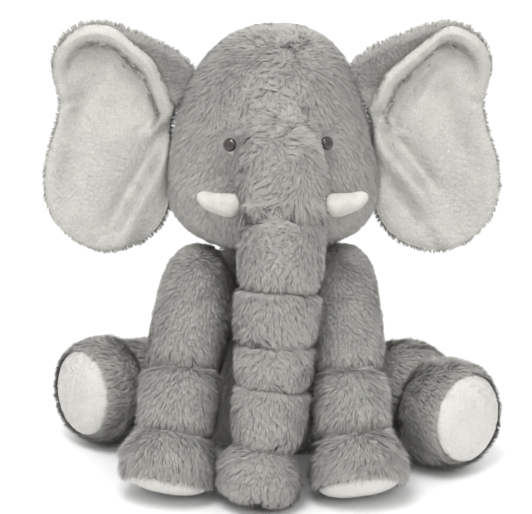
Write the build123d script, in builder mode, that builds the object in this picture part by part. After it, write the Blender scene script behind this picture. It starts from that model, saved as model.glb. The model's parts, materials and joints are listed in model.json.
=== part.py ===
"""Seated stuffed elephant with a long creased trunk, big ears, felt tusks and safety eyes.

Millimetres, +Z up, the elephant faces -Y and sits on the flat seat at Z = 0.  The origin is
the middle of that seat.  "left" and "right" are the elephant's own sides, so left is +X.
Every cover is a hollow plush shell around its own filling.  The pile stands proud of the covers.
The trunk and the legs are divided at their gathered creases, and each crease is a hinge.
"""
from build123d import *
import math
import os

os.makedirs("parts", exist_ok=True)

# ---------------------------------------------------------------- driving dimensions
WALL = 1.5               # plush backing with the roots of its pile
FIT = 0.2                # room between a cover and what it holds
CREASE = 1.9             # room at a gathered crease between two stuffed segments
SQUARENESS = 0.8         # 1 gives an ellipse, less gives a fuller, more cushion-like outline
OUTLINE_STEPS = 12       # points worked out along a stuffed segment's outline
POLE_SHARE = 0.12        # small flat at each end of a turned outline, as a share of its radius

# Torso, turned about the vertical axis through the origin
SEAT_RADIUS = 46.0
BODY_OUTLINE = [
    (SEAT_RADIUS, 0.0), (57.5, 7.0), (64.0, 22.0), (66.0, 42.0), (65.0, 66.0), (62.0, 90.0),
    (56.0, 110.0), (46.5, 128.0), (33.0, 142.0), (17.0, 149.0), (5.0, 150.5),
]
POUCH_RADIUS = 36.0      # bag of plastic pellets that weighs the seat down
POUCH_HEIGHT = 22.0

# Head, an upright egg turned about its own vertical axis
HEAD_FRONT = 20.0        # how far the head's axis stands in front of the origin
HEAD_LOW = 155.5
HEAD_HIGH = 309.0
HEAD_RADII = (86.5, 52.0)     # radii that the egg tends to at its cheeks and at its crown
HEAD_SQUARENESS = 0.7
FACE_TURN = 4.5          # degrees that the face looks towards the elephant's left

# Eyes: a glossy dome on a ribbed shank, held by a washer behind the fabric
EYE_DIAMETER = 9.5
EYE_DOME = 3.6
EYE_HEIGHT = 237.5
EYE_SPREAD = 28.7        # degrees of each eye from the middle of the face
EYE_LIFT = 0.22          # upward share of the way that an eye looks
EYE_PROUD = 1.0          # an eye's seat above the backing, at the depth of the pile's roots
EYE_RIM = 0.6            # straight edge of the dome above its seat
SHANK_RADIUS = 1.7
SHANK_LENGTH = 12.0
WASHER_RADIUS = 6.5
WASHER_THICKNESS = 1.4
WASHER_GAP = 3.0         # room left for the gathered plush between the backing and the washer
WASHER_GRIP = 0.1        # the washer's teeth stand this far off the shank

# Trunk: centres of the creases from the root down, and the radius at each end of a segment
TRUNK_CREASES = [
    (7.4, -113.2, 194.5),
    (5.2, -121.0, 147.5),
    (2.6, -128.5, 110.5),
    (0.6, -134.0, 82.0),
    (-3.6, -142.0, 43.5),
    (-11.5, -151.5, 3.3),
]
TRUNK_RADII = [(26.4, 27.0), (26.0, 25.4), (24.6, 24.0), (23.0, 23.0), (22.5, 32.0)]
BRIDGE_TOP = (6.2, -81.0, 259.0)      # where the trunk's root starts between the eyes
BRIDGE_RADII = (25.0, 29.5)

# Tusks: felt horns on the sides of the trunk's root
TUSK_LENGTH = 30.0
TUSK_RADIUS = 9.4
TUSK_TIP_RADIUS = 5.6
TUSK_RISE = 13.0         # degrees above level
TUSK_FORWARD = 14.0      # degrees ahead of straight sideways
TUSK_HEIGHT = 202.0
TUSK_ROOT_Y = -111.0
TUSK_SPREAD = 28.0       # from the middle of the face to a tusk's root

# Ears: three layers cut to one outline and dished round a large sphere
EAR_OUTLINE = [
    (79.2, 178.0), (88.5, 165.0), (104.0, 156.5), (124.0, 154.0), (144.0, 163.5), (158.5, 183.0),
    (161.0, 203.0), (155.0, 230.0), (147.5, 255.0), (151.5, 275.0), (149.0, 291.0), (129.0, 307.5),
    (98.0, 301.0), (72.0, 289.0), (60.0, 279.0), (72.5, 250.0), (78.8, 214.0),
]
EAR_DISH_CENTRE = (115.0, -277.0, 225.0)
EAR_LAYERS = {"back": (260.0, 257.0), "batting": (256.8, 254.8), "lining": (254.6, 252.6)}
EAR_BLOCK = 60.0         # depth of the block that an ear's dished layers are cut from

# Front legs: shoulder, elbow crease, ankle crease and middle of the sole
FRONT_LEFT = [(49.5, -39.0, 151.5), (53.0, -104.0, 76.0), (55.5, -130.0, 45.0), (61.0, -149.0, 7.5)]
FRONT_RIGHT = [(-50.0, -38.0, 151.5), (-62.5, -101.0, 78.5), (-66.0, -126.0, 44.5), (-73.5, -142.0, 6.6)]
FRONT_RADII = [(23.0, 25.4), (25.0, 25.6), (26.0, 34.0)]
FRONT_SOLE_RADIUS = 27.5

# Hind legs: hip, ankle crease and middle of the sole
HIND_LEFT = [(77.0, -20.0, 39.0), (112.0, -64.0, 40.0), (143.5, -101.0, 43.8)]
HIND_RIGHT = [(-78.5, 6.0, 39.0), (-111.0, -17.2, 40.2), (-143.6, -46.4, 44.0)]
HIND_RADII = [(36.0, 35.0), (34.0, 37.5)]
HIND_SOLE_RADIUS = 30.5

# Tail, hanging down the back to just above the surface
TAIL_POINTS = [(0.0, 70.0, 64.0), (0.0, 88.0, 27.0), (0.0, 96.0, 10.0)]
TAIL_RADIUS = 5.5
TUFT_RADIUS = 7.5


# ---------------------------------------------------------------- shared shapes
def between(start, end):
    """Unit direction and distance from one point to another."""
    step = Vector(*end) - Vector(*start)
    return step.normalized(), step.length


def turning_plane(start, direction):
    """Sketch plane whose local Y runs along direction from start, for turned outlines."""
    side = direction.cross(Vector(0, 0, 1))
    if side.length < 0.01:
        side = Vector(1, 0, 0)
    side = side.normalized()
    return Plane(origin=start, x_dir=side, z_dir=side.cross(direction))


def cushion_points(length, radii, squareness=SQUARENESS):
    """Outline of a stuffed segment from pole to pole, as (radius, distance) pairs."""
    start_radius, end_radius = radii
    pole = POLE_SHARE * min(radii)
    points = [(pole, 0)]
    for step in range(1, OUTLINE_STEPS):
        turn = math.pi * step / OUTLINE_STEPS
        across = math.sin(turn) ** squareness
        along = 0.5 - 0.5 * math.copysign(abs(math.cos(turn)) ** squareness, math.cos(turn))
        radius = start_radius + (end_radius - start_radius) * along
        points.append((across * radius, along * length))
    points.append((pole, length))
    return points


def inward(points, inset):
    """An outline moved inward, its poles along the axis and the rest along their normals."""
    moved = [(points[0][0], points[0][1] + inset)]
    for before, point, after in zip(points, points[1:], points[2:]):
        along = Vector(after[0] - before[0], after[1] - before[1]).normalized()
        moved.append((point[0] - inset * along.Y, point[1] + inset * along.X))
    moved.append((points[-1][0], points[-1][1] - inset))
    return moved


def turned(plane, points, *insets, mode=Mode.ADD):
    """Turn an outline about the plane's Y, hollow if it is given a second inset."""
    with BuildSketch(plane) as section:
        for inset, face_mode in zip(insets, (Mode.ADD, Mode.SUBTRACT)):
            outline = inward(points, inset)
            low = (0, outline[0][1])
            high = (0, outline[-1][1])
            with BuildLine():
                Line(low, outline[0])
                Spline(*outline)
                Line(outline[-1], high)
                Line(high, low)
            make_face(mode=face_mode)
    revolve(section.sketch, axis=Axis(plane.origin, plane.y_dir), mode=mode)


def cushion(start, end, radii, *insets, mode=Mode.ADD):
    """Stuffed segment whose poles are start and end, hollow if it is given two insets."""
    direction, length = between(start, end)
    points = cushion_points(length, radii)
    turned(turning_plane(start, direction), points, *insets, mode=mode)


def post(start, direction, radius, near, far, mode):
    """Cylinder about the line from start, between two distances along it."""
    middle = Vector(*start) + direction * ((near + far) / 2)
    with Locations(Plane(origin=middle, z_dir=direction)):
        Cylinder(radius=radius, height=far - near, mode=mode)


def write(part, name):
    """Label a finished piece and write its file."""
    part.label = name
    export_step(part, f"parts/{name}.step")


def stuffed_segment(name, start, end, radii):
    """Cover and filling of one segment that is closed at both ends."""
    with BuildPart() as cover:
        cushion(start, end, radii, 0, WALL)
    write(cover.part, f"{name}_cover")
    with BuildPart() as filling:
        cushion(start, end, radii, WALL + FIT)
    write(filling.part, f"{name}_filling")


def stuffed_foot(name, start, end, radii, sole_radius):
    """Cover, filling and sewn-in sole of a foot whose last pole is the middle of the sole."""
    direction, length = between(start, end)
    half = length / 2
    with BuildPart() as cover:
        cushion(start, end, radii, 0, WALL)
        post(start, direction, sole_radius, half, length + WALL, Mode.SUBTRACT)
    write(cover.part, f"{name}_cover")
    with BuildPart() as filling:
        cushion(start, end, radii, WALL + FIT)
    write(filling.part, f"{name}_filling")
    with BuildPart() as sole:
        cushion(start, end, radii, 0)
        post(start, direction, sole_radius - FIT, half, length + WALL, Mode.INTERSECT)
        cushion(start, end, radii, WALL, mode=Mode.SUBTRACT)
    write(sole.part, f"{name}_sole")


def creased_chain(points):
    """Ends of the segments between neighbouring creases, with half a crease left at each."""
    ends = []
    for start, end in zip(points, points[1:]):
        direction, _ = between(start, end)
        near = Vector(*start) + direction * (CREASE / 2)
        far = Vector(*end) - direction * (CREASE / 2)
        ends.append((tuple(near), tuple(far)))
    last_near, _ = ends[-1]
    ends[-1] = (last_near, points[-1])
    return ends


# ---------------------------------------------------------------- torso
TORSO_PLANE = Plane(origin=(0, 0, 0), x_dir=(1, 0, 0), z_dir=(0, -1, 0))
POUCH_LOW = (0, 0, WALL + 3 * FIT)
POUCH_HIGH = (0, 0, WALL + 3 * FIT + POUCH_HEIGHT)
POUCH_RADII = (POUCH_RADIUS, POUCH_RADIUS)


with BuildPart() as body_cover:
    turned(TORSO_PLANE, BODY_OUTLINE, 0, WALL)
write(body_cover.part, "body_cover")

with BuildPart() as body_filling:
    turned(TORSO_PLANE, BODY_OUTLINE, WALL + FIT)
    cushion(POUCH_LOW, POUCH_HIGH, POUCH_RADII, -FIT, mode=Mode.SUBTRACT)
write(body_filling.part, "body_filling")

with BuildPart() as pellet_pouch:
    cushion(POUCH_LOW, POUCH_HIGH, POUCH_RADII, 0)
write(pellet_pouch.part, "pellet_pouch")


# ---------------------------------------------------------------- head and eyes
HEAD_PLANE = Plane(origin=(0, -HEAD_FRONT, HEAD_LOW), x_dir=(1, 0, 0), z_dir=(0, -1, 0))
EGG = cushion_points(HEAD_HIGH - HEAD_LOW, HEAD_RADII, HEAD_SQUARENESS)


def head_radius(height):
    """Radius of the head's egg at a height, between its outline's points."""
    for (low_radius, low), (high_radius, high) in zip(EGG, EGG[1:]):
        if low <= height - HEAD_LOW <= high:
            return low_radius + (high_radius - low_radius) * (height - HEAD_LOW - low) / (high - low)
    raise ValueError("height is off the outline")


def eye_place(side):
    """Point on the head's surface under an eye, and the way that the eye looks."""
    turn = math.radians(FACE_TURN + side * EYE_SPREAD)
    outward = Vector(math.sin(turn), -math.cos(turn), 0)
    surface = Vector(0, -HEAD_FRONT, EYE_HEIGHT) + outward * (head_radius(EYE_HEIGHT) + EYE_PROUD)
    return surface, (outward + Vector(0, 0, EYE_LIFT)).normalized()


SIDES = {"left": 1, "right": -1}
SHANK_ROOM = SHANK_RADIUS + FIT
WASHER_ROOM = WASHER_RADIUS + 3 * FIT
WASHER_DEPTH = WALL + WASHER_GAP
WELL_DEPTH = SHANK_LENGTH + 1     # clears the end of the shank

with BuildPart() as head_cover:
    turned(HEAD_PLANE, EGG, 0, WALL)
    for side in SIDES.values():
        seat, look = eye_place(side)
        post(seat, look, SHANK_ROOM, -SHANK_LENGTH, SHANK_LENGTH, Mode.SUBTRACT)
write(head_cover.part, "head_cover")

with BuildPart() as head_filling:
    turned(HEAD_PLANE, EGG, WALL + FIT)
    for side in SIDES.values():
        seat, look = eye_place(side)
        post(seat, look, WASHER_ROOM, -WELL_DEPTH, SHANK_LENGTH, Mode.SUBTRACT)
write(head_filling.part, "head_filling")

for name, side in SIDES.items():
    seat, look = eye_place(side)
    with BuildPart() as eye:
        with BuildSketch(turning_plane(seat, look)):
            with BuildLine():
                Line((0, -SHANK_LENGTH), (SHANK_RADIUS, -SHANK_LENGTH))
                Line((SHANK_RADIUS, -SHANK_LENGTH), (SHANK_RADIUS, EYE_RIM))
                Line((SHANK_RADIUS, EYE_RIM), (EYE_DIAMETER / 2, EYE_RIM))
                Spline((EYE_DIAMETER / 2, EYE_RIM), (0, EYE_DOME), tangents=((0.2, 1), (-1, 0)))
                Line((0, EYE_DOME), (0, -SHANK_LENGTH))
            make_face()
        revolve(axis=Axis(seat, look))
    write(eye.part, f"eye_{name}")
    with BuildPart() as washer:
        post(seat, look, WASHER_RADIUS, -WASHER_DEPTH - WASHER_THICKNESS, -WASHER_DEPTH, Mode.ADD)
        post(seat, look, SHANK_RADIUS + WASHER_GRIP, -WELL_DEPTH, 0, Mode.SUBTRACT)
    write(washer.part, f"eye_washer_{name}")


# ---------------------------------------------------------------- trunk root and tusks
def tusk_ends(side):
    """Root and tip of a tusk, which points sideways, a little up and a little forward."""
    rise = math.radians(TUSK_RISE)
    forward = math.radians(TUSK_FORWARD)
    direction = Vector(side * math.cos(forward), -math.sin(forward), math.tan(rise)).normalized()
    middle = TRUNK_CREASES[0][0]
    root = Vector(middle + side * TUSK_SPREAD, TUSK_ROOT_Y, TUSK_HEIGHT)
    return tuple(root), tuple(root + direction * TUSK_LENGTH)


ROOT_END = tuple(Vector(*TRUNK_CREASES[0]) - between(BRIDGE_TOP, TRUNK_CREASES[0])[0] * (CREASE / 2))
TUSK_RADII = (TUSK_RADIUS, TUSK_TIP_RADIUS)

with BuildPart() as trunk_root_cover:
    cushion(BRIDGE_TOP, ROOT_END, BRIDGE_RADII, 0, WALL)
    turned(HEAD_PLANE, EGG, -2 * FIT, mode=Mode.SUBTRACT)
    for side in SIDES.values():
        cushion(*tusk_ends(side), TUSK_RADII, -FIT, mode=Mode.SUBTRACT)
write(trunk_root_cover.part, "trunk_root_cover")

with BuildPart() as trunk_root_filling:
    cushion(BRIDGE_TOP, ROOT_END, BRIDGE_RADII, WALL + FIT)
    turned(HEAD_PLANE, EGG, -2 * FIT, mode=Mode.SUBTRACT)
    for side in SIDES.values():
        cushion(*tusk_ends(side), TUSK_RADII, -FIT, mode=Mode.SUBTRACT)
write(trunk_root_filling.part, "trunk_root_filling")

for name, side in SIDES.items():
    stuffed_segment(f"tusk_{name}", *tusk_ends(side), TUSK_RADII)


# ---------------------------------------------------------------- trunk segments
for number, (ends, radii) in enumerate(zip(creased_chain(TRUNK_CREASES), TRUNK_RADII), start=1):
    stuffed_segment(f"trunk_{number}", *ends, radii)


# ---------------------------------------------------------------- ears
for name, side in SIDES.items():
    centre = (side * EAR_DISH_CENTRE[0], EAR_DISH_CENTRE[1], EAR_DISH_CENTRE[2])
    for layer, (outer_radius, inner_radius) in EAR_LAYERS.items():
        with BuildPart() as ear_layer:
            with BuildSketch(Plane(origin=(0, 0, 0), x_dir=(1, 0, 0), z_dir=(0, -1, 0))):
                with BuildLine():
                    Spline(*[(side * out, up) for out, up in EAR_OUTLINE], periodic=True)
                make_face()
            extrude(amount=EAR_BLOCK)
            with Locations(centre):
                Sphere(radius=outer_radius, mode=Mode.INTERSECT)
                Sphere(radius=inner_radius, mode=Mode.SUBTRACT)
        write(ear_layer.part, f"ear_{layer}_{name}")


# ---------------------------------------------------------------- legs
for name, points in {"left": FRONT_LEFT, "right": FRONT_RIGHT}.items():
    upper, lower, foot = creased_chain(points)
    stuffed_segment(f"front_upper_{name}", *upper, FRONT_RADII[0])
    stuffed_segment(f"front_lower_{name}", *lower, FRONT_RADII[1])
    stuffed_foot(f"front_foot_{name}", *foot, FRONT_RADII[2], FRONT_SOLE_RADIUS)

for name, points in {"left": HIND_LEFT, "right": HIND_RIGHT}.items():
    thigh, foot = creased_chain(points)
    stuffed_segment(f"thigh_{name}", *thigh, HIND_RADII[0])
    stuffed_foot(f"hind_foot_{name}", *foot, HIND_RADII[1], HIND_SOLE_RADIUS)


# ---------------------------------------------------------------- tail
tail, tuft = creased_chain(TAIL_POINTS)

with BuildPart() as tail_cover:
    cushion(*tail, (TAIL_RADIUS, TAIL_RADIUS), 0)
write(tail_cover.part, "tail_cover")

with BuildPart() as tail_tuft:
    cushion(*tuft, (TUFT_RADIUS, TUFT_RADIUS), 0)
write(tail_tuft.part, "tail_tuft")
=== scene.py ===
"""Looks of the seated stuffed elephant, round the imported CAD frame.

Metres, +Z up, the elephant faces -Y.  Each stuffed segment gets a soft skin made from its own
CAD solids, and a pile of real tapered fibres in clumps that rides with it.
"""

import bmesh
import bpy
import json
import math
import numpy as np
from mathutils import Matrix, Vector
from mathutils.bvhtree import BVHTree


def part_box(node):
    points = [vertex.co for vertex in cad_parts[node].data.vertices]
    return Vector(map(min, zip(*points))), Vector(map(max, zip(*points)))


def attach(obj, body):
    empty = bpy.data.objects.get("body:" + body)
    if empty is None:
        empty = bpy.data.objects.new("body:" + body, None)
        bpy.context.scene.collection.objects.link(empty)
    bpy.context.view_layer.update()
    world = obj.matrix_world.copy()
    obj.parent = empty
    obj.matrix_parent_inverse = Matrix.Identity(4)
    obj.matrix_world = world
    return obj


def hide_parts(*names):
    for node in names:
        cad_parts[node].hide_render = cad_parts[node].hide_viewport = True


MM = 0.001
UP = np.array((0.0, 0.0, 1.0))
DOWN = -UP
SIDES = {"left": 1.0, "right": -1.0}
# no fibre reaches nearer to the floor than this
FLOOR_GAP = 0.4 * MM

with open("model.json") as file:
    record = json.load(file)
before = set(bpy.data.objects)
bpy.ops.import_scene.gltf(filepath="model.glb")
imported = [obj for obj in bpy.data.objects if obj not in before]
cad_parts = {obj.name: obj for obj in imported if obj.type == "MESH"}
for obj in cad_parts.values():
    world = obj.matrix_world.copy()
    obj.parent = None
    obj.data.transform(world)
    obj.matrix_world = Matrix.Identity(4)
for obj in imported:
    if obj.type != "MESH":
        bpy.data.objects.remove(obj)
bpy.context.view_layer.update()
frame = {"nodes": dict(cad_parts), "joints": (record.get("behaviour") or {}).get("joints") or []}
JOINTS = {joint["name"]: np.array(joint["pos_m"]) for joint in frame["joints"]}
scene = bpy.context.scene


# ---------------------------------------------------------------- camera, floor and light
def look_at(item, target):
    item.rotation_euler = (Vector(target) - item.location).to_track_quat("-Z", "Y").to_euler()


def add_camera():
    """Camera a little above the elephant, straight in front of its seat."""
    target = Vector((0.0, -0.042, 0.147))
    rise = math.radians(15.0)
    away = 1.3
    data = bpy.data.cameras.new("camera")
    data.sensor_width = 36.0
    data.lens = 122.1
    data.shift_x = -0.0103
    camera = bpy.data.objects.new("camera", data)
    camera.location = target + Vector((0.0, -math.cos(rise), math.sin(rise))) * away
    look_at(camera, target)
    scene.collection.objects.link(camera)
    scene.camera = camera


def add_light(name, place, target, size, power):
    data = bpy.data.lights.new(name, "AREA")
    data.shape = "DISK"
    data.size = size
    data.energy = power
    light = bpy.data.objects.new(name, data)
    light.location = place
    look_at(light, target)
    scene.collection.objects.link(light)


def add_studio():
    """Pale floor that curves up behind, one broad key light from above and soft fills."""
    steps = 16
    bend = 0.5
    flat_end = 1.0
    half = 3.0
    profile = [(-half, 0.0), (flat_end, 0.0)]
    for step in range(1, steps + 1):
        turn = math.pi / 2 * step / steps
        profile.append((flat_end + bend * math.sin(turn), bend * (1 - math.cos(turn))))
    profile.append((flat_end + bend, half))
    points = [(x, y, z) for y, z in profile for x in (-half, half)]
    faces = [(2 * k, 2 * k + 1, 2 * k + 3, 2 * k + 2) for k in range(len(profile) - 1)]
    mesh = bpy.data.meshes.new("backdrop")
    mesh.from_pydata(points, [], faces)
    mesh.shade_smooth()
    backdrop = bpy.data.objects.new("backdrop", mesh)
    scene.collection.objects.link(backdrop)
    mesh.materials.append(paper())
    world = bpy.data.worlds.new("studio")
    world.use_nodes = True
    world.node_tree.nodes["Background"].inputs["Color"].default_value = (1.0, 1.0, 1.0, 1.0)
    world.node_tree.nodes["Background"].inputs["Strength"].default_value = 0.85
    scene.world = world
    middle = (0.0, -0.03, 0.15)
    add_light("key", (-0.25, -0.85, 1.5), middle, size=0.8, power=16.0)
    add_light("fill", (0.5, -1.35, 1.0), middle, size=1.0, power=5.0)
    add_light("back", (0.3, 1.3, 1.0), middle, size=1.0, power=6.0)
    for side, sign in SIDES.items():
        add_light(f"side_{side}", (1.7 * sign, 0.6, 0.9), middle, size=1.0, power=2.5)
    scene.view_settings.view_transform = "Standard"
    scene.view_settings.look = "None"


# ---------------------------------------------------------------- materials
def new_material(name):
    material = bpy.data.materials.new(name)
    material.use_nodes = True
    return material, material.node_tree.nodes["Principled BSDF"], material.node_tree


def noise(tree, scale, detail, roughness=0.55):
    """Noise fixed to the object, with its scale in lumps per metre."""
    place = tree.nodes.new("ShaderNodeTexCoord")
    node = tree.nodes.new("ShaderNodeTexNoise")
    node.inputs["Scale"].default_value = scale
    node.inputs["Detail"].default_value = detail
    node.inputs["Roughness"].default_value = roughness
    tree.links.new(place.outputs["Object"], node.inputs["Vector"])
    return node.outputs["Fac"]


def ramp(tree, value, *stops):
    node = tree.nodes.new("ShaderNodeValToRGB")
    elements = node.color_ramp.elements
    for element, (position, colour) in zip(elements, (stops[0], stops[-1])):
        element.position = position
        element.color = (*colour, 1.0)
    for position, colour in stops[1:-1]:
        elements.new(position).color = (*colour, 1.0)
    tree.links.new(value, node.inputs["Fac"])
    return node.outputs["Color"]


def bump(tree, shader, *layers):
    """Adds bump layers of (height, strength, distance in metres) to a shader."""
    last = None
    for height, strength, distance in layers:
        node = tree.nodes.new("ShaderNodeBump")
        node.inputs["Strength"].default_value = strength
        node.inputs["Distance"].default_value = distance
        tree.links.new(height, node.inputs["Height"])
        if last:
            tree.links.new(last, node.inputs["Normal"])
        last = node.outputs["Normal"]
    tree.links.new(last, shader.inputs["Normal"])


def paper():
    material, shader, tree = new_material("paper")
    tint = ramp(tree, noise(tree, 6.0, 2.0), (0.3, (0.90, 0.90, 0.90)), (0.7, (0.93, 0.93, 0.93)))
    tree.links.new(tint, shader.inputs["Base Color"])
    shader.inputs["Roughness"].default_value = 0.9
    return material


def fabric(name, dark, light, fine, coarse, depth, sheen):
    """Short-pile cloth: mottled colour, a fine nap and slow patches where it is brushed."""
    material, shader, tree = new_material(name)
    patches = noise(tree, coarse, 4.0)
    tint = ramp(tree, patches, (0.3, dark), (0.7, light))
    nap = noise(tree, fine, 6.0, 0.7)
    tree.links.new(tint, shader.inputs["Base Color"])
    bump(tree, shader, (nap, 0.7, depth), (patches, 0.5, depth * 2))
    shader.inputs["Roughness"].default_value = 0.95
    shader.inputs["Sheen Weight"].default_value = sheen
    shader.inputs["Sheen Roughness"].default_value = 0.5
    shader.inputs["Specular IOR Level"].default_value = 0.15
    return material


def plastic():
    material, shader, tree = new_material("eye_plastic_look")
    swirl = noise(tree, 260.0, 3.0)
    tint = ramp(tree, swirl, (0.3, (0.020, 0.014, 0.012)), (0.75, (0.050, 0.036, 0.030)))
    tree.links.new(tint, shader.inputs["Base Color"])
    smear = ramp(tree, noise(tree, 90.0, 2.0), (0.3, (0.12, 0.12, 0.12)), (0.7, (0.2, 0.2, 0.2)))
    tree.links.new(smear, shader.inputs["Roughness"])
    shader.inputs["Coat Weight"].default_value = 0.5
    shader.inputs["Coat Roughness"].default_value = 0.08
    return material


def fibre_shades(name, dark, light, count, sheen):
    """Shades of one fibre, from its dark root, which is painted shade, to its lightest tip."""
    shades = []
    for step in range(count):
        share = step / (count - 1)
        material, shader, tree = new_material(f"{name}_{step}")
        colour = [a + (b - a) * share for a, b in zip(dark, light)]
        shader.inputs["Base Color"].default_value = (*colour, 1.0)
        shader.inputs["Roughness"].default_value = 0.85
        shader.inputs["Specular IOR Level"].default_value = 0.12
        shader.inputs["Sheen Weight"].default_value = sheen
        shader.inputs["Sheen Roughness"].default_value = 0.4
        shades.append(material)
    return shades


GREY_SKIN = fabric("grey_backing", (0.31, 0.306, 0.293), (0.37, 0.365, 0.35),
                   fine=900.0, coarse=60.0, depth=0.4 * MM, sheen=0.2)
WHITE_CLOTH = fabric("white_nap", (0.62, 0.61, 0.58), (0.72, 0.71, 0.68),
                     fine=700.0, coarse=90.0, depth=0.5 * MM, sheen=0.2)
SUEDE = fabric("tusk_suede", (0.47, 0.455, 0.42), (0.56, 0.545, 0.505),
               fine=1500.0, coarse=160.0, depth=0.25 * MM, sheen=0.15)
COTTON = fabric("pouch_cloth", (0.60, 0.58, 0.54), (0.70, 0.68, 0.64),
                fine=1200.0, coarse=200.0, depth=0.2 * MM, sheen=0.1)
EYE_LOOK = plastic()
GREY_FIBRES = fibre_shades("grey_fibre", (0.30, 0.294, 0.277), (0.53, 0.521, 0.493), count=8, sheen=0.04)
EAR_CLOTH = fabric("ear_lining_nap", (0.47, 0.46, 0.43), (0.55, 0.54, 0.505),
                   fine=700.0, coarse=90.0, depth=0.5 * MM, sheen=0.15)
EAR_FIBRES = fibre_shades("ear_fibre", (0.54, 0.53, 0.495), (0.67, 0.66, 0.62), count=4, sheen=0.1)
WHITE_FIBRES = fibre_shades("white_fibre", (0.72, 0.71, 0.675), (0.82, 0.81, 0.775), count=4, sheen=0.1)


# ---------------------------------------------------------------- shared mesh tools
# size of the slow lumps of filling
LUMP_SIZE = 26 * MM


def linked(name, mesh):
    piece = bpy.data.objects.new(name, mesh)
    scene.collection.objects.link(piece)
    return piece


def coordinates(mesh):
    flat = np.empty(len(mesh.vertices) * 3, np.float32)
    mesh.vertices.foreach_get("co", flat)
    return flat.reshape(-1, 3).astype(float)


def vertex_normals(mesh):
    flat = np.empty(len(mesh.vertices) * 3, np.float32)
    mesh.vertex_normals.foreach_get("vector", flat)
    return flat.reshape(-1, 3).astype(float)


def move_vertices(mesh, points):
    mesh.vertices.foreach_set("co", points.astype(np.float32).ravel())
    mesh.update()


def node_tree(node):
    """Search tree over a CAD node's triangles."""
    data = frame["nodes"][node].data
    data.calc_loop_triangles()
    faces = [tuple(t.vertices) for t in data.loop_triangles]
    return BVHTree.FromPolygons([v.co for v in data.vertices], faces)


def unit(vectors):
    length = np.linalg.norm(vectors, axis=-1, keepdims=True)
    return vectors / np.maximum(length, 1e-9)


def smooth_step(value, low, high):
    share = np.clip((value - low) / (high - low), 0, 1)
    return share * share * (3 - 2 * share)


def wave_noise(points, size, seed, count=8):
    """Smooth vector noise in about -1..1 whose lumps are about size across."""
    chance = np.random.default_rng(seed)
    total = np.zeros_like(points)
    for _ in range(count):
        wave = unit(chance.normal(size=3)) * (2.2 / size) * chance.uniform(0.6, 1.4)
        shift = chance.uniform(0.0, 2 * math.pi, 3)
        total += np.sin((points @ wave)[:, None] + shift)
    return total / math.sqrt(count)


def largest_island(mesh):
    """Keeps only the outer surface, which is the island with the most vertices."""
    body = bmesh.new()
    body.from_mesh(mesh)
    left = set(body.verts)
    islands = []
    while left:
        start = left.pop()
        island, front = {start}, [start]
        while front:
            vertex = front.pop()
            for edge in vertex.link_edges:
                other = edge.other_vert(vertex)
                if other in left:
                    left.discard(other)
                    island.add(other)
                    front.append(other)
        islands.append(island)
    islands.sort(key=len)
    for island in islands[:-1]:
        bmesh.ops.delete(body, geom=list(island), context="VERTS")
    body.to_mesh(mesh)
    body.free()


def skin_of(name, nodes, voxel, rounds, lumps=0.0, seed=1):
    """One soft closed skin round some CAD nodes, with slow lumps where the filling bunches.

    voxel is the size of the remesh and lumps the height of the lumps, both in mm, and rounds is
    how often the skin is smoothed.
    """
    body = bmesh.new()
    for node in nodes:
        body.from_mesh(frame["nodes"][node].data)
    mesh = bpy.data.meshes.new(name)
    body.to_mesh(mesh)
    body.free()
    piece = linked(name, mesh)
    remesh = piece.modifiers.new("remesh", "REMESH")
    remesh.mode = "VOXEL"
    remesh.voxel_size = voxel * MM
    smooth = piece.modifiers.new("smooth", "SMOOTH")
    smooth.factor = 0.5
    smooth.iterations = rounds
    ready = bpy.data.meshes.new_from_object(piece.evaluated_get(bpy.context.evaluated_depsgraph_get()))
    piece.modifiers.clear()
    piece.data = ready
    ready.name = name
    largest_island(ready)
    if lumps:
        points = coordinates(ready)
        height = wave_noise(points, LUMP_SIZE, seed)[:, :1] * lumps * MM
        move_vertices(ready, points + vertex_normals(ready) * height)
    ready.shade_smooth()
    return piece


def dress(piece, body, material, nodes):
    """Material, body, slot and CAD nodes of a padded piece."""
    piece.data.materials.clear()
    piece.data.materials.append(material)
    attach(piece, body)
    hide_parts(*nodes)


# ---------------------------------------------------------------- pile
# size of the slow waves in the way that the pile lies
RUFFLE_SIZE = 22 * MM
# a flared segment has its full width from this share of its length on
FLARE_END = 0.6
# the most that a skin counts as drawn in at a crease
MOST_DRAWN = 10 * MM
# pile on a skin that is drawn in this much stands half-way to straight outward
CREASE_TURN = 5 * MM
# a big tuft is this many small tufts across
BIG_TUFT = 2.6


def scatter(mesh, per_mm2, chance):
    """Even random roots on a mesh, with the smooth normal at each."""
    mesh.calc_loop_triangles()
    corners = np.empty(len(mesh.loop_triangles) * 3, np.int32)
    mesh.loop_triangles.foreach_get("vertices", corners)
    corners = corners.reshape(-1, 3)
    points, normals = coordinates(mesh), vertex_normals(mesh)
    a, b, c = (points[corners[:, k]] for k in range(3))
    area = np.linalg.norm(np.cross(b - a, c - a), axis=1) / 2
    count = int(area.sum() / (MM * MM) * per_mm2)
    reach = np.cumsum(area)
    picks = (np.arange(count) + chance.uniform(size=count)) / count * reach[-1]
    face = np.minimum(np.searchsorted(reach, picks), len(area) - 1)
    u, v = chance.uniform(size=(2, count, 1))
    flip = (u + v) > 1
    u, v = np.where(flip, 1 - u, u), np.where(flip, 1 - v, v)
    share = np.concatenate([1 - u - v, u, v], axis=1)
    place = np.einsum("nk,nkx->nx", share, points[corners[face]])
    normal = np.einsum("nk,nkx->nx", share, normals[corners[face]])
    return place, unit(normal)


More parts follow.
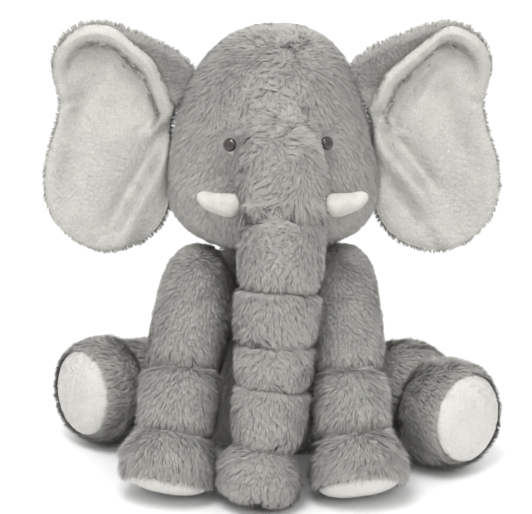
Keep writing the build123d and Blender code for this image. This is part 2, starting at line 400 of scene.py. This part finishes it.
def cell_chance(cells, seed, count):
    """Random numbers that belong to whole-number cells."""
    state = (cells[:, 0] * 73856093) ^ (cells[:, 1] * 19349663) ^ (cells[:, 2] * 83492791) ^ (seed * 2654435)
    state = state & 0x7FFFFFFF
    columns = []
    for _ in range(count):
        state = (state * 1103515245 + 12345) & 0x7FFFFFFF
        mixed = (state ^ (state >> 13)) & 0xFFFFFF
        columns.append(mixed / float(0x1000000))
    return np.stack(columns, axis=1)


def tufts(points, size, seed):
    """Centre of the tuft that each point belongs to, and that tuft's own random numbers."""
    cells = np.floor(points / size).astype(np.int64)
    nearest = np.full(len(points), np.inf)
    centre = np.zeros_like(points)
    traits = np.zeros((len(points), 7))
    for dx in (-1, 0, 1):
        for dy in (-1, 0, 1):
            for dz in (-1, 0, 1):
                around = cells + np.array((dx, dy, dz))
                values = cell_chance(around, seed, 7)
                middle = (around + values[:, :3]) * size
                gap = ((points - middle) ** 2).sum(axis=1)
                closer = gap < nearest
                nearest[closer] = gap[closer]
                centre[closer] = middle[closer]
                traits[closer] = values[closer]
    return centre, traits[:, 3:]


def narrowing(share, flare):
    """Width at a share of the way along a flared segment, against its full width."""
    return 1 - flare * np.clip(1 - share / FLARE_END, 0, 1) ** 1.3


def crease_fill(skin, start, end, at_start, at_end, flare=0.0):
    """How far the skin draws in towards a crease at each root, so that longer pile there can fill it.

    start and end are the segment's poles, and at_start and at_end say which of them is a crease.
    flare is how much narrower than the rest the start is left.
    """
    way = unit(end - start)
    long = np.linalg.norm(end - start)
    points = coordinates(skin.data)

    def split(places):
        share = (places - start) @ way / long
        out = places - start - (share * long)[:, None] * way
        return share, out, np.linalg.norm(out, axis=1)

    share, _, radius = split(points)
    near = radius[(share > 0.15) & (share < 0.5)].max()
    far = radius[(share > 0.5) & (share < 0.85)].max()
    if flare:
        near = far = max(near, far)

    def fill(places):
        share, out, radius = split(places)
        full = near + (far - near) * np.clip((share - 0.3) / 0.4, -0.5, 1.5)
        full = full * narrowing(share, flare)
        drawn = np.clip(full - radius, 0, MOST_DRAWN) * smooth_step(radius / full, 0.25, 0.6)
        wanted = np.where(share < 0.5, float(at_start), float(at_end))
        inner = (radius < full * 0.3) & ((share < 0.06) | (share > 0.94)) & (wanted > 0)
        return drawn * wanted, unit(out), inner

    return fill


def plump(skin, fill, share):
    """Fills the skin out towards its creases, so that a crease is a narrow line."""
    points = coordinates(skin.data)
    drawn, outward, _ = fill(points)
    move_vertices(skin.data, points + outward * (drawn * share)[:, None])


def along_surface(vectors, normal):
    """The part of each vector that lies in the surface."""
    return vectors - normal * (vectors * normal).sum(axis=1, keepdims=True)


def at_each(value, root):
    """A value for each root, from one number or from a function of place."""
    return value(root) if callable(value) else np.full(len(root), float(value))


def lie_of(root, normal, comb, tousle, trait, big_trait, seed, chance):
    """The way that each fibre lies: combed, then ruffled in slow waves, in big tufts and in small ones."""
    ruffle = at_each(tousle, root)[:, None]
    way = comb(root) + wave_noise(root, RUFFLE_SIZE, seed + 3) * ruffle
    way += (trait[:, :3] - 0.5) * 1.5 * ruffle + (big_trait[:, :3] - 0.5) * 1.6 * ruffle
    way += chance.normal(size=(len(root), 3)) * 0.10
    return unit(along_surface(way, normal))


def fibre_corners(root, normal, way, across, long, tilt, width, gather, chance):
    """Five corners of each fibre: two at its root, two halfway up and one at its tip."""
    count = len(root)
    rise = np.sqrt(1 - tilt**2)
    middle = root + long * 0.5 * (normal * (0.22 + 0.6 * rise) + way * tilt * 0.9)
    middle += across * gather * 0.35
    tip = root + long * (normal * (0.16 + rise * 0.62) + way * tilt) + across * gather
    tip += chance.normal(size=(count, 3)) * long * 0.04
    middle[:, 2] = np.maximum(middle[:, 2], FLOOR_GAP)
    tip[:, 2] = np.maximum(tip[:, 2], FLOOR_GAP)
    flat = unit(np.cross(normal, way) + chance.normal(size=(count, 3)) * 0.25)
    half = width * MM / 2 * chance.uniform(0.75, 1.25, (count, 1))
    return np.stack([root + flat * half, root - flat * half, middle - flat * half * 0.8,
                     middle + flat * half * 0.8, tip], axis=1)


def shade_numbers(trait, big_trait, count, chance):
    """Which of count shades each fibre has at its root and at its tip, by tuft and by chance; the root is
    set darker than the tip as painted shade.
    """
    bright = 3.4 + (big_trait[:, 1] - 0.5) * 1.4 + (trait[:, 1] - 0.5) * 1.1
    bright = bright + chance.normal(size=len(trait)) * 0.4
    top = count - 1
    scale = top / 7.0
    # the root takes a darker shade than the tip: painted shade where the fibres shadow each other at their
    # roots
    root_shade = np.clip(np.round((bright - 1.0) * scale), 0, top).astype(np.int32)
    tip_shade = np.clip(np.round((bright + 1.8) * scale), 0, top).astype(np.int32)
    return root_shade, tip_shade


def pile(name, skin, body, shades, comb, *, length, per_mm2, width=0.38, tuft=3.0, lean=0.84,
         gather=0.36, tousle=0.3, seed=1, keep=None, parts=1, fill=None, relief=0.48):
    """Grows a clumped, combed pile of tapered fibres on a skin.

    comb(points) gives the way that the pile lies.  length, width and tuft are in mm, lean is how
    far the pile lies over, gather how much each tuft closes up, tousle how much its way varies and
    relief how rounded each tuft is shaded.  length and tousle may also be functions of place.
    """
    chance = np.random.default_rng(seed)
    root, normal = scatter(skin.data, per_mm2, chance)
    if keep is not None:
        wanted = keep(root, normal)
        root, normal = root[wanted], normal[wanted]
    drawn = np.zeros(len(root))
    if fill is not None:
        drawn, outward, inner = fill(root)
        root, normal, drawn, outward = root[~inner], normal[~inner], drawn[~inner], outward[~inner]
        normal = unit(normal + outward * (drawn / CREASE_TURN)[:, None])
    count = len(root)
    centre, trait = tufts(root, tuft * MM, seed)
    _, big_trait = tufts(root, tuft * BIG_TUFT * MM, seed + 50)
    across = along_surface(centre - root, normal)
    way = lie_of(root, normal, comb, tousle, trait, big_trait, seed, chance)
    long = at_each(length, root) * MM
    long = long * (0.80 + 0.26 * trait[:, 3] + 0.20 * big_trait[:, 3]) * chance.uniform(0.8, 1.1, count)
    long = (long + 0.8 * drawn)[:, None]
    tilt = lean + (big_trait[:, 0] - 0.5) * 0.16 + chance.normal(size=count) * 0.06
    tilt = np.clip(tilt, 0.05, 0.97)[:, None]
    points = fibre_corners(root, normal, way, across, long, tilt, width, gather, chance)
    # a tuft is shaded as one soft lump: its fibres' normals open out from its middle
    lump = unit(normal - across / (tuft * MM) * relief + way * 0.1)
    # root quads take darker shades than tip triangles: painted shade at the fibres' roots
    root_shade, tip_shade = shade_numbers(trait, big_trait, len(shades), chance)
    group = np.minimum((np.arange(count) * parts) // count, parts - 1)
    for part in range(parts):
        chosen = group == part
        label = name if parts == 1 else f"{name}_{part + 1}"
        made = fibre_mesh(label, points[chosen], lump[chosen], root_shade[chosen], tip_shade[chosen], shades)
        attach(made, body)


def fibre_mesh(name, points, lump, root_shade, tip_shade, shades):
    """Mesh of two-step fibres: a quad at the root and a triangle at the tip of each."""
    count = len(points)
    first = (np.arange(count) * 5)[:, None]
    corners = np.concatenate([first + (0, 1, 2, 3), first + (3, 2, 4)], axis=1).ravel()
    mesh = bpy.data.meshes.new(name)
    mesh.vertices.add(count * 5)
    mesh.vertices.foreach_set("co", points.astype(np.float32).ravel())
    mesh.loops.add(count * 7)
    mesh.loops.foreach_set("vertex_index", corners.astype(np.int32))
    mesh.polygons.add(count * 2)
    starts = np.stack([np.arange(count) * 7, np.arange(count) * 7 + 4], axis=1).ravel()
    mesh.polygons.foreach_set("loop_start", starts.astype(np.int32))
    mesh.polygons.foreach_set("material_index", np.stack([root_shade, tip_shade], axis=1).ravel())
    mesh.update(calc_edges=True)
    mesh.shade_smooth()
    mesh.normals_split_custom_set_from_vertices(np.repeat(lump, 5, axis=0).astype(np.float32))
    for shade in shades:
        mesh.materials.append(shade)
    return linked(name, mesh)


# ---------------------------------------------------------------- ways the pile lies
def along(vector, outward=0.0, centre=None):
    """Comb along one direction, with some of it opening away from a centre line."""
    direction = np.array(vector, float)

    def comb(points):
        way = np.repeat(direction[None, :], len(points), axis=0)
        if centre is not None:
            away = points - np.array(centre)
            away[:, 2] = 0.0
            way = way + unit(away) * outward
        return way

    return comb


def middle_of(node):
    low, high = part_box(node)
    return np.array((low + high) / 2)


# ---------------------------------------------------------------- torso and tail
def add_torso():
    nodes = ["body_cover", "body_filling"]
    skin = skin_of("torso_skin", nodes, voxel=3.0, rounds=6, lumps=1.0, seed=11)
    dress(skin, "body", GREY_SKIN, nodes)

    def keep(points, normals):
        """Leaves the seat bare, where it rests on the floor."""
        return points[:, 2] > 1.5 * MM

    pile("torso_pile", skin, "body", GREY_FIBRES, along(DOWN, 0.3, (0, 0, 0)), length=7.5,
         per_mm2=0.9, seed=12, keep=keep, parts=2)


def add_tail():
    for node, length in (("tail_cover", 5.0), ("tail_tuft", 8.0)):
        skin = skin_of(f"{node}_skin", [node], voxel=1.5, rounds=2)
        dress(skin, "tail", GREY_SKIN, [node])
        pile(f"{node}_pile", skin, "tail", GREY_FIBRES, along((0, 0.3, -1)), length=length,
             per_mm2=1.3, lean=0.8, seed=21)


# ---------------------------------------------------------------- head
def push(points, normals, centre, reach, depth):
    """Moves the skin near a place along its normals by up to depth."""
    gap = np.linalg.norm(points - centre, axis=1)
    return points + normals * (np.exp(-((gap / reach) ** 2)) * depth)[:, None]


def swell(points, normals, landmark, sign, bulge):
    """Pushes the skin at a bulge, which is an offset from a landmark, a reach and a height, in mm."""
    offset, reach, height = bulge
    place = landmark + np.array(offset) * (sign, 1, 1) * MM
    return push(points, normals, place, reach * MM, height * MM)


def soften(mesh, centre, reach, rounds):
    """Smooths a mesh near a place."""
    ends = np.empty(len(mesh.edges) * 2, np.int32)
    mesh.edges.foreach_get("vertices", ends)
    first, second = ends[0::2], ends[1::2]
    points = coordinates(mesh)
    share = 0.6 * np.exp(-((np.linalg.norm(points - centre, axis=1) / reach) ** 4))[:, None]
    count = np.bincount(ends, minlength=len(points))[:, None]
    for _ in range(rounds):
        total = np.zeros_like(points)
        np.add.at(total, first, points[second])
        np.add.at(total, second, points[first])
        points = points + (total / count - points) * share
    move_vertices(mesh, points)


# bulges and hollows of the face: offset with x outward, reach and height
FOREHEAD = ((0, 2, 32), 23, 7.0)
BESIDE_TUSK = ((-14, -2, 4), 17, 4.5)
UNDER_EYE = ((4, -4, -20), 12, -8.5)
EYE_SOCKET = ((4, 1, 0), 8.5, -3.4)
CHEEK = ((22, 4, -42), 22, 2.5)


def add_head():
    nodes = ["head_cover", "head_filling", "trunk_root_cover", "trunk_root_filling"]
    skin = skin_of("head_skin", nodes, voxel=2.4, rounds=8, lumps=1.0, seed=31)
    eyes = [middle_of(f"eye_{side}") for side in SIDES]
    tusks = [middle_of(f"tusk_{side}_cover") for side in SIDES]
    between = (eyes[0] + eyes[1]) / 2
    points = coordinates(skin.data)
    # the front panel runs into the forehead without a step
    points = swell(points, vertex_normals(skin.data), between, 1.0, FOREHEAD)
    move_vertices(skin.data, points)
    soften(skin.data, between + np.array((0, 0, 24)) * MM, 36 * MM, 140)
    points = coordinates(skin.data)
    # the crown narrows, leans to the left and is a little lower
    top = np.clip((points[:, 2] - between[2] - 25 * MM) / (60 * MM), 0, 1)
    across = points[:, 0] - between[0]
    points[:, 0] = between[0] + across * (1 - 0.10 * top**2) + 5.0 * MM * top
    points[:, 2] -= 2.5 * MM * top**2
    normals = vertex_normals(skin.data)
    for tusk, sign in zip(tusks, SIDES.values()):
        points = swell(points, normals, tusk, sign, BESIDE_TUSK)
    for eye, sign in zip(eyes, SIDES.values()):
        for bulge in (UNDER_EYE, EYE_SOCKET, CHEEK):
            points = swell(points, normals, eye, sign, bulge)
    move_vertices(skin.data, points)
    centre = middle_of("head_cover")
    bridge_end = JOINTS["trunk_curl_1"]
    bridge_start = middle_of("trunk_root_cover") * 2 - bridge_end
    bridge = unit(bridge_end - bridge_start)
    bridge_long = np.linalg.norm(bridge_end - bridge_start)

    def head_comb(points):
        """Down the face, opening out to the cheeks and round the eyes."""
        side = points - centre
        side[:, 2] = 0.0
        way = np.repeat(DOWN[None, :], len(points), axis=0) * 0.8 + unit(side) * np.array((0.6, 0.2, 0.0))
        for eye in eyes:
            away = points - eye
            gap = np.linalg.norm(away, axis=1)
            way = way + unit(away) * (2.2 * np.exp(-((gap / (11 * MM)) ** 2)))[:, None]
        for tusk, sign in zip(tusks, SIDES.values()):
            gap = np.linalg.norm(points - tusk + np.array((9 * sign * MM, 0, 0)), axis=1)
            way = way + np.array((sign, -0.5, 0.0)) * (1.6 * np.exp(-((gap / (12 * MM)) ** 2)))[:, None]
        return way

    def ruffle(points):
        """The middle panel is ruffled and the sides are brushed smooth."""
        return 0.16 + 0.42 * np.exp(-(((points[:, 0] - centre[0] - 5 * MM) / (30 * MM)) ** 2))

    def fill(places):
        """The end of the bridge, filled in towards the first crease of the trunk."""
        share = (places - bridge_start) @ bridge / bridge_long
        out = places - bridge_start - ((places - bridge_start) @ bridge)[:, None] * bridge
        radius = np.linalg.norm(out, axis=1)
        drawn = np.clip(28 * MM - radius, 0, 8 * MM) * np.clip((share - 0.8) / 0.12, 0, 1)
        drawn *= (out[:, 1] < 4 * MM)
        drawn *= smooth_step(radius, 8 * MM, 17 * MM)
        inner = (radius < 8 * MM) & (share > 0.97) & (places[:, 1] < -92 * MM)
        return drawn, unit(out), inner

    plump(skin, fill, 0.7)
    dress(skin, "head", GREY_SKIN, nodes)

    def keep(points, normals):
        """Leaves the eyes clear."""
        clear = np.ones(len(points), bool)
        for eye in eyes:
            clear &= np.linalg.norm(points - eye, axis=1) > 5.6 * MM
        return clear

    def length(points):
        """Longer round the tusks and over the first crease of the trunk, and short round the eyes."""
        long = np.full(len(points), 6.6)
        for tusk, sign in zip(tusks, SIDES.values()):
            gap = np.linalg.norm(points - tusk + np.array((11 * sign * MM, 0, 0)), axis=1)
            long += 4.0 * np.exp(-((gap / (9 * MM)) ** 2))
        for eye in eyes:
            gap = np.linalg.norm(points - eye, axis=1)
            long *= 1 - 0.86 * np.exp(-((gap / (12 * MM)) ** 4))
        share = (points - bridge_start) @ bridge / bridge_long
        front = points[:, 1] < bridge_end[1] + 8 * MM
        off = np.abs(points[:, 0] - bridge_end[0] + 4 * MM) / MM
        long += (1.0 + 5.0 * smooth_step(off, 5, 14)) * smooth_step(share, 0.75, 0.95) * front
        return long

    pile("head_pile", skin, "head", GREY_FIBRES, head_comb, length=length, per_mm2=2.4,
         seed=32, keep=keep, parts=4, tousle=ruffle, fill=fill)


def paint(node, look):
    """Gives a CAD node that shows as it is its material."""
    cad = frame["nodes"][node]
    cad.data.materials.clear()
    cad.data.materials.append(look)


def add_eyes():
    for side in SIDES:
        paint(f"eye_{side}", EYE_LOOK)
        paint(f"eye_washer_{side}", COTTON)


def add_tusks():
    for side, sign in SIDES.items():
        nodes = [f"tusk_{side}_cover", f"tusk_{side}_filling"]
        skin = skin_of(f"tusk_{side}", nodes, voxel=0.9, rounds=3)
        points = coordinates(skin.data)
        middle = middle_of(nodes[0])
        low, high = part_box(nodes[0])
        share = np.clip((points[:, 0] * sign - min(low.x * sign, high.x * sign)) / (high.x - low.x), 0, 1)
        rise = math.tan(math.radians(13.0)) * (points[:, 0] - middle[0]) * sign
        thin = 1.0 - 0.12 * np.clip(share - 0.35, 0, 1)
        points[:, 2] = middle[2] + rise + (points[:, 2] - middle[2] - rise) * thin
        points[:, 2] += 10.0 * MM * (share**2 - 0.9 * share)
        points += vertex_normals(skin.data) * (1.1 * MM * smooth_step(share, 0.6, 0.9))[:, None]
        move_vertices(skin.data, points)
        dress(skin, "head", SUEDE, nodes)


# ---------------------------------------------------------------- trunk and legs
# each part of a leg: its own joint, the next joint, the way its pile lies with x outward, and the
# pile's length in mm
LEG_PARTS = (("front_upper", "shoulder", "elbow", (0.1, -0.3, -1), 5.6),
             ("front_lower", "elbow", "front_ankle", (0.1, -0.3, -1), 6.6),
             ("front_foot", "front_ankle", None, (0.15, -0.3, -1), 8.4),
             ("thigh", "hip", "hind_ankle", (1.0, -0.6, -0.2), 7.0),
             ("hind_foot", "hind_ankle", None, (1.0, -0.6, -0.2), 7.0))
# bulges of an upper front leg on its chest side: offset with x outward, reach and height
UPPER_CHEST = ((-12, -2, 36), 20, 5)
LOWER_CHEST = ((-16, -16, 12), 26, 5)


def clear_of(node, gap):
    """Keeps the roots that are further than gap from a CAD node."""
    tree = node_tree(node)

    def keep(points, normals):
        return np.array([tree.find_nearest(Vector(place))[3] > gap for place in points])

    return keep


def taper(skin, ends, flare):
    """Draws a skin in towards its first end, where it is wider than a flared segment should be."""
    points = coordinates(skin.data)
    way = ends[1] - ends[0]
    share = (points - ends[0]) @ way / (way @ way)
    core = ends[0] + share[:, None] * way
    thin = narrowing(share, flare)
    wide = np.linalg.norm(points - core, axis=1) / max(np.linalg.norm(points - core, axis=1).max(), 1e-6)
    thin = np.where(wide > thin, thin / np.maximum(wide, 1e-6), 1.0)
    move_vertices(skin.data, core + (points - core) * thin[:, None])


def add_segment(body, nodes, comb, seed, ends, creases, length, *, tousle=0.3, keep=None, flare=0.0,
                shape=None, full=0.76):
    """A stuffed segment between two ends, with its pile filling in towards the creases.

    full is how much of the way out the skin itself fills its creases.
    """
    skin = skin_of(f"{body}_skin", nodes, voxel=2.4, rounds=4, lumps=1.0, seed=seed)
    fill = crease_fill(skin, *ends, *creases, flare)
    plump(skin, fill, full)
    if flare:
        taper(skin, ends, flare)
    if shape is not None:
        move_vertices(skin.data, shape(coordinates(skin.data), vertex_normals(skin.data)))
    dress(skin, body, GREY_SKIN, nodes)
    pile(f"{body}_pile", skin, body, GREY_FIBRES, comb, length=length, per_mm2=2.4,
         seed=seed + 1, fill=fill, tousle=tousle, keep=keep, lean=0.80, relief=0.5, gather=0.42)


def add_trunk():
    last = 5
    for number in range(1, last + 1):
        body = f"trunk_{number}"
        nodes = [f"{body}_cover", f"{body}_filling"]
        centre = middle_of(nodes[0])
        start = JOINTS[f"trunk_curl_{number}"]
        end = JOINTS[f"trunk_curl_{number + 1}"] if number < last else centre * 2 - start

        def ruffle(points, middle=centre):
            """Ruffled along the middle and brushed smooth at the sides."""
            return 0.15 + 0.5 * np.exp(-(((points[:, 0] - middle[0]) / (15 * MM)) ** 2))

        add_segment(body, nodes, along((0, -0.2, -0.8), 0.45, centre), 40 + number * 3, (start, end),
                    (True, number < last), 5.6, tousle=ruffle, flare=0.52 if number == last else 0.0,
                    full=0.64)


def add_sole(body, node, seed):
    skin = skin_of(f"{body}_sole", [node], voxel=1.2, rounds=3)
    points = coordinates(skin.data)
    move_vertices(skin.data, points + vertex_normals(skin.data) * 0.5 * MM)
    dress(skin, body, WHITE_CLOTH, [node])
    pile(f"{body}_sole_nap", skin, body, WHITE_FIBRES, along((0.2, 0, -1)), length=1.5,
         per_mm2=2.6, width=0.55, tuft=3.0, lean=0.93, gather=0.1, tousle=0.1, relief=0.08, seed=seed)


def inner_side(middle, sign):
    """Shape of an upper front leg, whose chest side is filled out towards the trunk."""

    def shape(points, normals):
        for bulge in (UPPER_CHEST, LOWER_CHEST):
            points = swell(points, normals, middle, sign, bulge)
        return points

    return shape


def slack_top(middle, sign):
    """Shape of a thigh: the right one sags a little and the left one stands a little proud."""

    def shape(points, normals):
        above = np.clip(points[:, 2] - middle[2], 0, None)
        points[:, 2] += above * 0.16 * sign
        return points

    return shape


def add_leg_part(side, number, part, joint, after, way, length):
    sign = SIDES[side]
    body = f"{part}_{side}"
    nodes = [f"{body}_cover", f"{body}_filling"]
    centre = middle_of(nodes[0])
    seed = 100 + number * 7 + int(sign) * 50
    start = JOINTS[f"{joint}_{side}"]
    end = JOINTS[f"{after}_{side}"] if after else centre * 2 - start
    creases = (part not in ("front_upper", "thigh"), after is not None)
    is_foot = part.endswith("foot")
    keep = clear_of(f"{body}_sole", 2.0 * MM) if is_foot else None
    shapes = {"front_upper": inner_side(centre, sign), "thigh": slack_top(centre, sign)}
    comb = along(np.array(way) * (sign, 1, 1), 0.4, centre)
    add_segment(body, nodes, comb, seed, (start, end), creases, length, keep=keep,
                flare=0.33 if part == "front_foot" else 0.0, shape=shapes.get(part))
    if is_foot:
        add_sole(body, f"{body}_sole", seed + 3)


def add_legs():
    for side in SIDES:
        for number, row in enumerate(LEG_PARTS):
            add_leg_part(side, number, *row)


# ---------------------------------------------------------------- ears
SPOKES = 240
RINGS = 48


def ear_outline(node, centre):
    """Distance from the ear's middle to its edge along each spoke, seen from the front."""
    data = frame["nodes"][node].data
    points = coordinates(data)[:, (0, 2)] - centre
    ends = np.empty(len(data.edges) * 2, np.int32)
    data.edges.foreach_get("vertices", ends)
    start, stop = points[ends[0::2]], points[ends[1::2]]
    edge = np.zeros(SPOKES)
    for spoke in range(SPOKES):
        turn = spoke * 2 * math.pi / SPOKES
        way = np.array((math.cos(turn), math.sin(turn)))
        side = np.array((-way[1], way[0]))
        a, b = start @ side, stop @ side
        crossing = (a * b <= 0) & (np.abs(a - b) > 1e-12)
        share = a[crossing] / (a[crossing] - b[crossing])
        met = start[crossing] + (stop[crossing] - start[crossing]) * share[:, None]
        edge[spoke] = (met @ way).max()
    return (np.roll(edge, 1) + edge * 2 + np.roll(edge, -1)) / 4


def ear_sheet(name, side, node, centre, edge, front, thickness, sunk=0.0):
    """Closed soft sheet over a CAD ear layer, shaped by front(inset, x, z) in mm towards the viewer.

    sunk is how far the upper corner beside the head is drawn back, in mm.
    """
    tree = node_tree(node)
    sign = SIDES[side]
    # rays stop a little inside the CAD layer's edge
    pull = 0.985
    turns = np.arange(SPOKES) * 2 * math.pi / SPOKES
    rows = []
    for ring in range(1, RINGS + 1):
        share = math.sin(math.pi / 2 * ring / RINGS) ** 1.05
        x = centre[0] + np.cos(turns) * edge * share
        z = centre[1] + np.sin(turns) * edge * share
        rows.append((x, z, edge * (1 - share)))
    x = np.concatenate([[centre[0]], *[row[0] for row in rows]])
    z = np.concatenate([[centre[1]], *[row[1] for row in rows]])
    inset = np.concatenate([[edge.min()], *[row[2] for row in rows]])
    base = np.zeros(len(x))
    for index in range(len(x)):
        place = (centre[0] + (x[index] - centre[0]) * pull, -1.0, centre[1] + (z[index] - centre[1]) * pull)
        hit = tree.ray_cast(Vector(place), Vector((0, 1, 0)))
        base[index] = hit[0].y if hit[0] is not None else np.nan
    known = np.flatnonzero(~np.isnan(base))
    for index in np.flatnonzero(np.isnan(base)):
        gap = (x[known] - x[index]) ** 2 + (z[known] - z[index]) ** 2
        base[index] = base[known[np.argmin(gap)]]
    corner = smooth_step(-(x - centre[0]) * sign / MM, 18, 40) * smooth_step((z - centre[1]) / MM, 22, 36)
    base = base + corner * sunk * MM
    round_edge = np.sqrt(1 - (1 - np.clip(inset / (5.0 * MM), 0, 1)) ** 2)
    out = front(inset / MM, (x - centre[0]) * sign / MM, (z - centre[1]) / MM) * MM
    y_front = base - out * (0.25 + 0.75 * round_edge) + thickness / 2 * MM * (1 - round_edge)
    y_back = base + thickness * MM - thickness / 2 * MM * (1 - round_edge)
    count = len(x)
    points = np.concatenate([np.stack([x, y_front, z], axis=1), np.stack([x, y_back, z], axis=1)])
    faces = []
    for spoke in range(SPOKES):
        after = (spoke + 1) % SPOKES
        faces.append((0, 1 + spoke, 1 + after))
        faces.append((count, count + 1 + after, count + 1 + spoke))
        for ring in range(RINGS - 1):
            a = 1 + ring * SPOKES + spoke
            b = 1 + ring * SPOKES + after
            faces.append((a, a + SPOKES, b + SPOKES, b))
            faces.append((count + a, count + b, count + b + SPOKES, count + a + SPOKES))
        a = 1 + (RINGS - 1) * SPOKES + spoke
        b = 1 + (RINGS - 1) * SPOKES + after
        faces.append((a, count + a, count + b, b))
    mesh = bpy.data.meshes.new(name)
    mesh.from_pydata(points.tolist(), [], faces)
    body = bmesh.new()
    body.from_mesh(mesh)
    bmesh.ops.remove_doubles(body, verts=body.verts, dist=1e-6)
    bmesh.ops.recalc_face_normals(body, faces=body.faces)
    body.to_mesh(mesh)
    body.free()
    mesh.shade_smooth()
    return linked(name, mesh)


def hill(value, centre, spread):
    """Smooth hill of height 1 over a value."""
    return np.exp(-(((value - centre) / spread) ** 2))


# The ear's folds, as shares of half its height, with the ear's middle as the origin and x outward.
# straight cuts of the lining: the way that each faces, in degrees from outward, and its distance
EAR_CUTS = {"left": ((131, 0.75), (156, 0.65)), "right": ((131, 0.82), (156, 0.66))}
# top and bottom of the valley beside the head
EAR_VALLEYS = {"left": ((-0.56, 0.26), (0.04, -0.48)), "right": ((-0.56, 0.18), (0.0, -0.78))}
# top and bottom of the slack hollow in the middle
EAR_HOLLOWS = {"left": ((0.08, 0.52), (0.21, -0.10)), "right": ((0.10, 0.60), (0.38, 0.03))}


def across_line(x, z, ends, half):
    """Signed distance from a line, positive on its outer side, and the share of the way along it."""
    (x0, z0), (x1, z1) = np.array(ends) * half
    long = math.hypot(x1 - x0, z1 - z0)
    way = ((x1 - x0) / long, (z1 - z0) / long)
    share = ((x - x0) * way[0] + (z - z0) * way[1]) / long
    return -((x - x0) * way[1] - (z - z0) * way[0]), share


def lining_folds(side, half):
    """Height of a lining towards the viewer: rolled upper rim, valley under it and slack folds."""

    def front(inset, x, z):
        turn = np.degrees(np.arctan2(z, x))
        rolled = smooth_step(turn, 50, 85) * (1 - smooth_step(turn, 158, 178))
        rolled = rolled * smooth_step(np.hypot(x, z), 12, 34)
        band = rolled * (7.5 * (1 - smooth_step(inset, 9, 17)) - 4.0 * hill(inset, 23, 10))
        rim = (1 - rolled) * 2.2 * hill(inset, 8, 8)
        gap, share = across_line(x, z, EAR_VALLEYS[side], half)
        held = smooth_step(share, -0.12, 0.1) * (1 - smooth_step(share, 0.85, 1.25))
        valley = held * (-4.5 * hill(gap, 1, 6.5) + 4.8 * hill(gap, -10, 6))
        beyond = -4.0 * smooth_step(-gap, 14, 26) * smooth_step(share, 0.0, 0.3)
        hollow_gap, hollow_share = across_line(x, z, EAR_HOLLOWS[side], half)
        slack = smooth_step(hollow_share, -0.3, 0.2) * (1 - smooth_step(hollow_share, 0.8, 1.4))
        hollow = slack * (-2.6 * hill(hollow_gap, 0, 8) + 1.2 * hill(hollow_gap, 15, 8))
        crown = 2.0 * hill(gap, 24, 14) * (1 - rolled)
        notch = -1.6 * hill(z - 27 + 0.3 * (x - 30), 0, 3) * smooth_step(x, 16, 34)
        return 1.2 + band + rim + valley + beyond + hollow + crown + notch

    return front


def grey_folds(inset, x, z):
    """Height of the grey back towards the viewer: a low rolled edge."""
    return 0.2 + 0.6 * hill(inset, 4.0, 4.0)


def add_ears():
    for side, sign in SIDES.items():
        body = f"ear_{side}"
        back, lining, batting = f"ear_back_{side}", f"ear_lining_{side}", f"ear_batting_{side}"
        low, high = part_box(back)
        centre = np.array(((low.x + high.x) / 2 + 4 * MM * sign, (low.z + high.z) / 2))
        edge = ear_outline(back, centre)
        turns = np.arange(SPOKES) * 2 * math.pi / SPOKES
        outward = np.cos(turns) * sign
        upward = np.sin(turns)
        over = np.clip(upward, 0, 1) ** 2 * 4.0 + np.clip(-upward, 0, 1) ** 2 * 2.0
        inward = np.clip(-outward - 0.55, 0, 1) * np.clip(0.75 - upward, 0, 1)
        edge = edge + (1.5 + over + 11.0 * inward) * MM
        # two straight cuts, over which the grey back shows beside the head
        lining_edge = edge.copy()
        half = (high.z - low.z) / 2
        for facing, distance in EAR_CUTS[side]:
            facing = math.radians(facing)
            towards = np.maximum(outward * math.cos(facing) + upward * math.sin(facing), 0.05)
            lining_edge = np.minimum(lining_edge, distance * half / towards)
        for _ in range(4):
            lining_edge = (np.roll(lining_edge, 1) + lining_edge * 2 + np.roll(lining_edge, -1)) / 4
        white = ear_sheet(f"ear_{side}_lining", side, lining, centre, lining_edge,
                          lining_folds(side, half / MM), 2.6)
        dress(white, body, EAR_CLOTH, [lining, batting])
        grey = ear_sheet(f"ear_{side}_back", side, back, centre, edge + 1.0 * MM, grey_folds, 3.2, 6.0)
        dress(grey, body, GREY_SKIN, [back])

        def outward_comb(points, middle=centre):
            """Away from the ear's middle, and a little downward."""
            way = points - np.array((middle[0], 0.0, middle[1]))
            way[:, 1] = 0.0
            return unit(way) + DOWN * 0.25

        def bare(points, normals, middle=centre, limit=lining_edge):
            """Front of the grey back that the lining doesn't cover, and all of its edge and rear."""
            away = points[:, (0, 2)] - middle
            turn = np.arctan2(away[:, 1], away[:, 0]) % (2 * math.pi)
            reach = np.interp(turn, turns, limit, period=2 * math.pi)
            return (normals[:, 1] > -0.5) | (np.hypot(away[:, 0], away[:, 1]) > reach - 1 * MM)

        pile(f"ear_{side}_nap", white, body, EAR_FIBRES, outward_comb, length=1.5,
             per_mm2=1.8, width=0.6, tuft=3.0, lean=0.85, tousle=0.3, gather=0.2, relief=0.25,
             seed=301 + int(sign), parts=2, keep=lambda points, normals: normals[:, 1] < 0.2)
        pile(f"ear_{side}_pile", grey, body, GREY_FIBRES, outward_comb, length=4.8,
             per_mm2=1.6, seed=311 + int(sign), parts=2, lean=0.75, keep=bare)


# ---------------------------------------------------------------- the whole toy
add_camera()
add_studio()
add_torso()
add_tail()
add_head()
add_eyes()
add_tusks()
add_trunk()
add_legs()
add_ears()

paint("pellet_pouch", COTTON)
